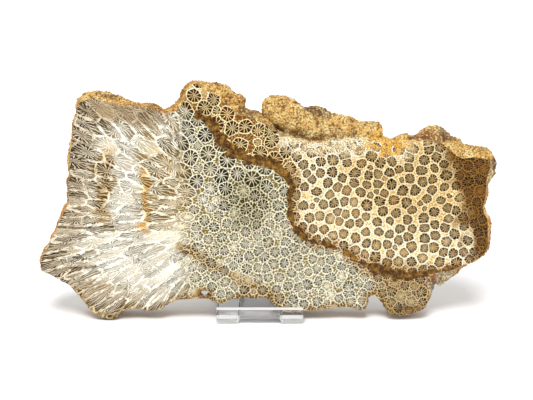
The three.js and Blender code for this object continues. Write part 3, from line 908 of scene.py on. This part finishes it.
def rind():
    """The weathered outside: golden crust in grains with dark pores, painted shade in the gaps between the
    grains and painted pale highlights.
    """
    paint = Paint(RIND)
    at = paint.place_mm()
    grain = paint.node("TexVoronoi", {"Vector": at, "Scale": 1.25}).outputs
    small = paint.node("TexVoronoi", {"Vector": at, "Scale": 2.6}).outputs
    patchy = paint.noise(at, 5, detail=4, roughness=0.6)
    grit = paint.noise(at, 0.7, detail=3, roughness=0.65)
    chance = paint.parts(grain["Color"])[0]
    painted = paint.marks("crust", "Color")
    # The pale cream blends are painted highlights; the dark blend by grain distance is painted shade in the
    # gaps between grains; the browns are the crust's own spots.
    for pattern, low, high, share, code in (
            (patchy, 0.48, 0.66, 0.8, "FFE8AC"), (patchy, 0.49, 0.36, 0.8, "8E6024"),
            (chance, 0.5, 0.9, 0.6, "FFF0C0"), (grit, 0.46, 0.32, 0.9, "5A3A12"),
            (grain["Distance"], 0.45, 0.8, 0.65, "6C4E22")):
        painted = paint.blend(paint.ramp(pattern, low, high, 0, share), painted, tint(code))
    painted = paint.node("Gamma", {"Color": painted, "Gamma": RIND_DEPTH}).outputs[0]
    height = paint.math("SUBTRACT", paint.times_plus(small["Distance"], -0.5, grit), grain["Distance"])
    paint.shade({"Base Color": painted, "Roughness": paint.ramp(grit, 0.3, 0.7, 0.92, 0.62)},
                (0.9, 0.5, height))
    return paint.material


def clear_acrylic(settings, sawn=False):
    """Clear cast acrylic, hazy where fingers held it, or with the frosted face that a saw leaves."""
    paint = Paint("Sawn acrylic edge" if sawn else "Clear acrylic")
    at = paint.place_mm()
    if sawn:
        haze = paint.ramp(paint.noise(at, 0.8, detail=3), 0.35, 0.7, 0.35, 0.6)
    else:
        haze = paint.ramp(paint.noise(at, 6, detail=4), 0.35, 0.7, 0.01, 0.06)
    paint.shade({"Base Color": (*settings.tint, 1), "IOR": settings.ior, "Roughness": haze,
                 "Transmission Weight": settings.frosted_through if sawn else 1})
    absorb = paint.node("VolumeAbsorption", {"Color": (0.9, 0.96, 0.98, 1), "Density": settings.absorption})
    paint.tree.links.new(absorb.outputs[0], paint.output.inputs["Volume"])
    return paint.material


def pale_floor(settings):
    """A plain matt floor, with the faintest unevenness."""
    paint = Paint("Pale floor")
    shade = paint.ramp(paint.noise(paint.place_mm(), 60), 0.3, 0.7, 0.985, 1)
    paint.shade({"Base Color": paint.shaded((*settings.floor_colour, 1), shade), "Roughness": 0.7,
                 "Specular IOR Level": 0.2})
    return paint.material


# ---------------------------------------------------------------- crumbs on the rind


def crumb_tree(material):
    """Geometry nodes: small irregular crumbs over the rough part of a surface."""
    tree = bpy.data.node_groups.new("Crumbs on the rind", "GeometryNodeTree")
    face = tree.interface
    face.new_socket("Geometry", in_out="INPUT", socket_type="NodeSocketGeometry")
    for name, value, high in (("Crumbs per square metre", 4e5, 1e7), ("Smallest", 0.0002, 0.01),
                              ("Largest", 0.0006, 0.01), ("Unevenness", 0.0002, 0.01)):
        socket = face.new_socket(name, in_out="INPUT", socket_type="NodeSocketFloat")
        socket.default_value, socket.min_value, socket.max_value = value, 0, high
    face.new_socket("Seed", in_out="INPUT", socket_type="NodeSocketInt").default_value = 3
    face.new_socket("Geometry", in_out="OUTPUT", socket_type="NodeSocketGeometry")

    node = partial(add_node, tree)
    given = node("NodeGroupInput").outputs
    rough = node("GeometryNodeInputNamedAttribute", {"Name": "rough"}, data_type="FLOAT").outputs[0]
    density = node("ShaderNodeMath", {0: rough, 1: given["Crumbs per square metre"]}, operation="MULTIPLY")
    points = node("GeometryNodeDistributePointsOnFaces",
                  {"Mesh": given["Geometry"], "Density": density.outputs[0], "Seed": given["Seed"]})
    size = node("FunctionNodeRandomValue", {2: given["Smallest"], 3: given["Largest"], "Seed": given["Seed"]})
    spin = node("FunctionNodeRandomValue", {0: (0, 0, 0), 1: (6.28, 6.28, 6.28), "Seed": 7},
                data_type="FLOAT_VECTOR")
    crumb = node("GeometryNodeMeshIcoSphere", {"Radius": 1.0, "Subdivisions": 1})
    placed = node("GeometryNodeInstanceOnPoints",
                  {"Points": points.outputs["Points"], "Instance": crumb.outputs["Mesh"],
                   "Rotation": spin.outputs[0], "Scale": size.outputs[1]})
    real = node("GeometryNodeRealizeInstances", {"Geometry": placed.outputs[0]})
    where = node("GeometryNodeInputPosition")
    uneven = node("ShaderNodeTexNoise", {"Vector": where.outputs[0], "Scale": 1500.0, "Detail": 1.0})
    centred = node("ShaderNodeVectorMath", {0: uneven.outputs[1], 1: (0.5, 0.5, 0.5)}, operation="SUBTRACT")
    push = node("ShaderNodeVectorMath", {0: centred.outputs[0], "Scale": given["Unevenness"]},
                operation="SCALE")
    shifted = node("GeometryNodeSetPosition", {"Geometry": real.outputs[0], "Offset": push.outputs[0]})
    finished = node("GeometryNodeSetMaterial", {"Geometry": shifted.outputs[0], "Material": material})
    node("NodeGroupOutput", {"Geometry": finished.outputs[0]})
    return tree


def grown(source, tree, values, name):
    """A new plain mesh object of what a geometry node tree makes on a copy of source."""
    made = bpy.data.objects.new(name, source.data.copy())
    bpy.context.collection.objects.link(made)
    modifier = made.modifiers.new(tree.name, "NODES")
    modifier.node_group = tree
    sockets = {item.name: item.identifier for item in tree.interface.items_tree
               if item.in_out == "INPUT" and item.socket_type != "NodeSocketGeometry"}
    for label, value in values.items():
        modifier[sockets[label]] = value
    made.data.update()
    evaluated = made.evaluated_get(bpy.context.evaluated_depsgraph_get())
    mesh = bpy.data.meshes.new_from_object(evaluated)
    made.modifiers.remove(modifier)
    made.data = mesh
    mesh.name = name
    return made


# ---------------------------------------------------------------- what a user can change


def amount(name, description, default, low, high, **more):
    """A number that a user can change, with its limits."""
    return FloatProperty(name=name, description=description, default=default, min=low, max=high, **more)


def length(name, description, default, low, high):
    return amount(name, description, default, low, high, subtype="DISTANCE", precision=5)


def angle(name, description, degrees, low, high):
    return amount(name, description, math.radians(degrees), math.radians(low), math.radians(high),
                  subtype="ANGLE")


def shade_of(name, description, level):
    """A colour that a user can change, grey by default."""
    return FloatVectorProperty(name=name, description=description, default=(level,) * 3, min=0, max=1, size=3,
                               subtype="COLOR")


class CoralSliceSettings(bpy.types.PropertyGroup):
    seed: IntProperty(name="Seed", description="Another number gives other corallites", default=11, min=0)
    face_step: length("Face detail", "Size of the triangles on the polished face", 0.00075, 0.0004, 0.003)
    rind_step: length("Rind detail", "Longest edge of the triangles on the rind", 0.0011, 0.0005, 0.003)
    ring_share: amount("Left rings", "Radius of the left colony's rings in pitches", 0.5, 0.2, 0.6)
    right_ring_share: amount("Right rings", "Radius of the right colony's rings in pitches", 0.51, 0.2, 0.6)
    knob_size: length("Knob size", "Width of the rind's knobs", 0.0045, 0.001, 0.02)
    knob_height: length("Knob height", "How far the rind's knobs rise", 0.0007, 0, 0.003)
    grain_size: length("Grain size", "Width of the rind's grains", 0.0019, 0.0005, 0.01)
    grain_height: length("Grain height", "How far the rind's grains rise", 0.0008, 0, 0.003)


class CrumbSettings(bpy.types.PropertyGroup):
    density: amount("Density", "Crumbs on each square metre of rind", 7e5, 0, 5e6)
    smallest: length("Smallest", "Radius of the smallest crumbs", 0.00018, 0.0001, 0.002)
    largest: length("Largest", "Radius of the largest crumbs", 0.00045, 0.0001, 0.003)
    seed: IntProperty(name="Seed", description="Another number scatters the crumbs anew", default=3, min=0)


class StandSettings(bpy.types.PropertyGroup):
    bevel: length("Edge", "Width of the polished bevel along every edge", 0.00025, 0.00005, 0.001)
    tint: shade_of("Tint", "Colour of the acrylic", 1.0)
    ior: amount("IOR", "How strongly the acrylic bends light", 1.49, 1, 2)
    absorption: amount("Absorption", "How fast the acrylic takes up light, per metre", 1, 0, 100)
    frosted_through: amount("Through frosted faces", "Share of the light that goes through the sawn faces",
                            0.25, 0, 1, subtype="FACTOR")


class StageSettings(bpy.types.PropertyGroup):
    floor_colour: shade_of("Floor", "Colour of the floor", 0.97)
    floor_size: length("Floor size", "Length of each side of the floor", 8, 1, 50)
    key_strength: amount("Key light", "Strength of the soft light from above the front", 2.3, 0, 50)
    key_elevation: angle("Key elevation", "Angle of the key light above level", 64, 0, 90)
    key_turn: angle("Key turn", "How far the key light stands off to the left", -8, -180, 180)
    key_softness: angle("Key softness", "How wide the key light looks", 28, 0, 180)
    light_colour: shade_of("Light", "Colour of all the light", 1.0)
    sky: amount("Sky", "Strength of the even light from above", 0.68, 0, 5)
    front_glow: amount("Front glow", "Light from low in front, as a share of the sky", 0.8, 0, 2)
    back_glow: amount("Back glow", "Light from behind, as a share of the sky", 1.3, 0, 2)
    distance: length("Camera distance", "From the camera to the slice", 0.7, 0.2, 5)
    elevation: angle("Camera elevation", "Angle of the camera above level", 18, 0, 90)
    field: length("View width", "Width of the view at the slice", 0.2303, 0.05, 2)


class SceneSettings(bpy.types.PropertyGroup):
    coral: PointerProperty(type=CoralSliceSettings, name="Slice", description="The slice of coral")
    crumbs: PointerProperty(type=CrumbSettings, name="Crumbs", description="Crumbs on the rind")
    stand: PointerProperty(type=StandSettings, name="Stand", description="The clear stand")
    stage: PointerProperty(type=StageSettings, name="Stage", description="Floor, lamps and camera")


# ---------------------------------------------------------------- the operators


def add_piece(name, mesh):
    """A new object of the mesh that rides on the one body."""
    piece = bpy.data.objects.new(name, mesh)
    bpy.context.collection.objects.link(piece)
    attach(piece, BODY)
    return piece


class CORAL_OT_slice(bpy.types.Operator):
    """Build the slice of coral with its polished face, rind and sawn back"""
    bl_idname = "coral.slice"
    bl_label = "Coral slice"

    def execute(self, context):
        mesh = slice_mesh(context.scene.coral_scene.coral)
        for material in (polished_coral(), rind(), sawn_coral()):
            mesh.materials.append(material)
        piece = add_piece(DRESSED, mesh)
        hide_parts(SLICE)
        return {"FINISHED"}


class CORAL_OT_crumbs(bpy.types.Operator):
    """Scatter loose-looking crumbs over the rind of the slice"""
    bl_idname = "coral.crumbs"
    bl_label = "Crumbs on the rind"

    def execute(self, context):
        settings = context.scene.coral_scene.crumbs
        source = bpy.data.objects.get(DRESSED)
        if source is None:
            raise RuntimeError("build the coral slice before its crumbs")
        values = {"Crumbs per square metre": settings.density, "Smallest": settings.smallest,
                  "Largest": settings.largest, "Seed": settings.seed}
        piece = grown(source, crumb_tree(bpy.data.materials[RIND]), values, "coral_rind_crumbs")
        points = np.array([vert.co for vert in piece.data.vertices])
        points = np.clip(points, *(np.array(corner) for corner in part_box(SLICE)))
        piece.data.vertices.foreach_set("co", points.astype(np.float32).ravel())
        piece.data.update()
        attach(piece, BODY)
        return {"FINISHED"}


class CORAL_OT_stand(bpy.types.Operator):
    """Build the clear stand with polished edges"""
    bl_idname = "coral.stand"
    bl_label = "Clear stand"

    def execute(self, context):
        settings = context.scene.coral_scene.stand
        materials = clear_acrylic(settings), clear_acrylic(settings, sawn=True)
        for node in STAND_NODES:
            form = joined_copy(node)
            bmesh.ops.dissolve_limit(form, angle_limit=FLAT_EDGE, verts=form.verts, edges=form.edges)
            sharp = [edge for edge in form.edges if edge.calc_face_angle(0) > SHARP_EDGE]
            bmesh.ops.bevel(form, geom=sharp, offset=settings.bevel, segments=2, profile=0.5,
                            affect="EDGES", clamp_overlap=True)
            mesh = bpy.data.meshes.new(node + "_clear")
            for face in form.faces:
                if "leg" in node:
                    frosted = abs(face.normal.x) < 0.5
                else:
                    height = face.calc_center_median().z / MM
                    low, high = RECESS_CEILING
                    frosted = abs(face.normal.z) > 0.9 and (height > LIP_TOP or low < height < high)
                face.material_index = int(frosted)
            form.to_mesh(mesh)
            form.free()
            for material in materials:
                mesh.materials.append(material)
            piece = add_piece(node + "_clear", mesh)
            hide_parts(node)
        return {"FINISHED"}


class CORAL_OT_stage(bpy.types.Operator):
    """Set up the pale floor, the soft lamps and the camera"""
    bl_idname = "coral.stage"
    bl_label = "Stage"

    def execute(self, context):
        settings = context.scene.coral_scene.stage
        half, low = settings.floor_size / 2, -FLOOR_GAP * MM
        mesh = bpy.data.meshes.new("floor")
        mesh.from_pydata([(-half, -half, low), (half, -half, low), (half, half, low), (-half, half, low)],
                         [], [(0, 1, 2, 3)])
        mesh.materials.append(pale_floor(settings))
        floor = bpy.data.objects.new("floor", mesh)
        context.collection.objects.link(floor)

        key = bpy.data.lights.new("key", "SUN")
        key.energy, key.angle = settings.key_strength, settings.key_softness
        key.color = settings.light_colour
        above = bpy.data.objects.new("key", key)
        above.rotation_euler = (math.pi / 2 - settings.key_elevation, 0, settings.key_turn)
        context.collection.objects.link(above)

        world = bpy.data.worlds.new("studio")
        world.use_nodes = True
        tree = world.node_tree
        way = add_node(tree, "ShaderNodeTexCoord").outputs["Generated"]
        _, back, up = add_node(tree, "ShaderNodeSeparateXYZ", {0: way}).outputs
        front = add_node(tree, "ShaderNodeMapRange", {
            "Value": up, "From Max": SKY_ABOVE, "To Min": settings.front_glow * settings.sky,
            "To Max": settings.sky}).outputs[0]
        glow = add_node(tree, "ShaderNodeMapRange", {
            "Value": back, "From Min": GLOW_FROM, "From Max": GLOW_TO, "To Min": front,
            "To Max": settings.back_glow * settings.sky}).outputs[0]
        light = tree.nodes["Background"].inputs
        feed(tree, light["Color"], (*settings.light_colour, 1))
        feed(tree, light["Strength"], glow)
        context.scene.world = world
        context.scene.view_settings.view_transform = "Standard"

        data = bpy.data.cameras.new("camera")
        data.lens = settings.distance / settings.field * data.sensor_width
        camera = bpy.data.objects.new("camera", data)
        middle = Vector(VIEW_CENTRE) * MM
        back = Vector((0, -math.cos(settings.elevation), math.sin(settings.elevation)))
        camera.location = middle + back * settings.distance
        camera.rotation_euler = (math.pi / 2 - settings.elevation, 0, 0)
        context.collection.objects.link(camera)
        context.scene.camera = camera
        return {"FINISHED"}


class CORAL_PT_panel(bpy.types.Panel):
    """Every piece of the coral slice, with its settings"""
    bl_label = "Fossil coral slice"
    bl_idname = "CORAL_PT_panel"
    bl_space_type = "VIEW_3D"
    bl_region_type = "UI"
    bl_category = "Coral"

    def draw(self, context):
        settings = context.scene.coral_scene
        groups = settings.coral, settings.crumbs, settings.stand, settings.stage
        for operator, group in zip(OPERATORS, groups):
            box = self.layout.box()
            box.operator(operator.bl_idname)
            for name in group.__annotations__:
                box.prop(group, name)


OPERATORS = (CORAL_OT_slice, CORAL_OT_crumbs, CORAL_OT_stand, CORAL_OT_stage)
CLASSES = (CoralSliceSettings, CrumbSettings, StandSettings, StageSettings, SceneSettings, *OPERATORS,
           CORAL_PT_panel)


def register():
    for item in CLASSES:
        bpy.utils.register_class(item)
    bpy.types.Scene.coral_scene = PointerProperty(type=SceneSettings)


def unregister():
    del bpy.types.Scene.coral_scene
    for item in reversed(CLASSES):
        bpy.utils.unregister_class(item)


def main():
    register()
    bpy.ops.coral.slice()
    bpy.ops.coral.crumbs()
    bpy.ops.coral.stand()
    bpy.ops.coral.stage()


if __name__ == "__main__":
    main()
